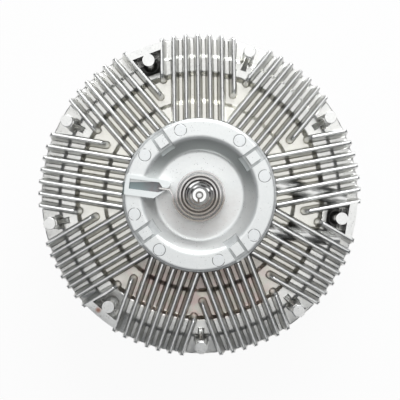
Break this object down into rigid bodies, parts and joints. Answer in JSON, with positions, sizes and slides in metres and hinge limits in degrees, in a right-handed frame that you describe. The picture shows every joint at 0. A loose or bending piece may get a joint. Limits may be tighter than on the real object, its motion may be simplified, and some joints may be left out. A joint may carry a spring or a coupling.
{
  "type": "viscous fan clutch",
  "caption": "Viscous fan clutch: finned die-cast housing with a dished reservoir cap and an open bimetal coil, turning on a flanged input shaft through a sealed bearing.",
  "frame": {"origin": "centre of the input shaft's rear mounting face", "axes": "+Z along the axis of rotation towards the finned front, +Y up and +X right as seen from the front"},
  "size_m": [0.25, 0.2507, 0.0925],
  "materials": {
    "cast_body": "as cast",
    "cast_cap": "satin, blasted",
    "steel": "machined",
    "coil_strip": "rolled, bright",
    "cage": "machined",
    "seal": "matt"
  },
  "bodies": {
    "input_side": {"input_shaft": "steel", "bearing_inner_ring": "steel", "rotor": "cast_body", "rotor_retaining_ring": "steel"},
    "housing": {"front_housing": "cast_body", "rear_housing": "cast_body", "reservoir_cap": "cast_cap", "cap_seal": "seal", "valve_shaft_seal": "seal", "bimetal_coil": "coil_strip", "separator_plate": "steel", "separator_screws": "steel", "return_passage_plugs": "steel", "housing_seal": "seal", "housing_screws": "steel", "bearing_outer_ring": "steel", "bearing_seals": "seal", "bearing_retaining_ring": "steel"},
    "roller_set": {"bearing_rollers": "steel", "bearing_cage": "cage"},
    "valve": {"valve_shaft": "steel", "valve_arm": "steel", "valve_shaft_clip": "steel"}
  },
  "joints": [
    {"name": "housing_spin", "type": "hinge", "parent": "input_side", "child": "housing", "pos_m": [0, 0, 0.032], "axis": [0, 0, 1], "continuous": true},
    {"name": "roller_set_spin", "type": "hinge", "parent": "input_side", "child": "roller_set", "pos_m": [0, 0, 0.032], "axis": [0, 0, 1], "continuous": true},
    {"name": "valve_turn", "type": "hinge", "parent": "housing", "child": "valve", "pos_m": [0, 0, 0.0872], "axis": [0, 0, 1], "range_deg": [0, 30], "stiffness_Nm_per_rad": 0.02, "deforming": ["bimetal_coil"]}
  ],
  "couplings": [
    {"joint": "roller_set_spin", "follows": "housing_spin", "ratio": 0.58523}
  ]
}
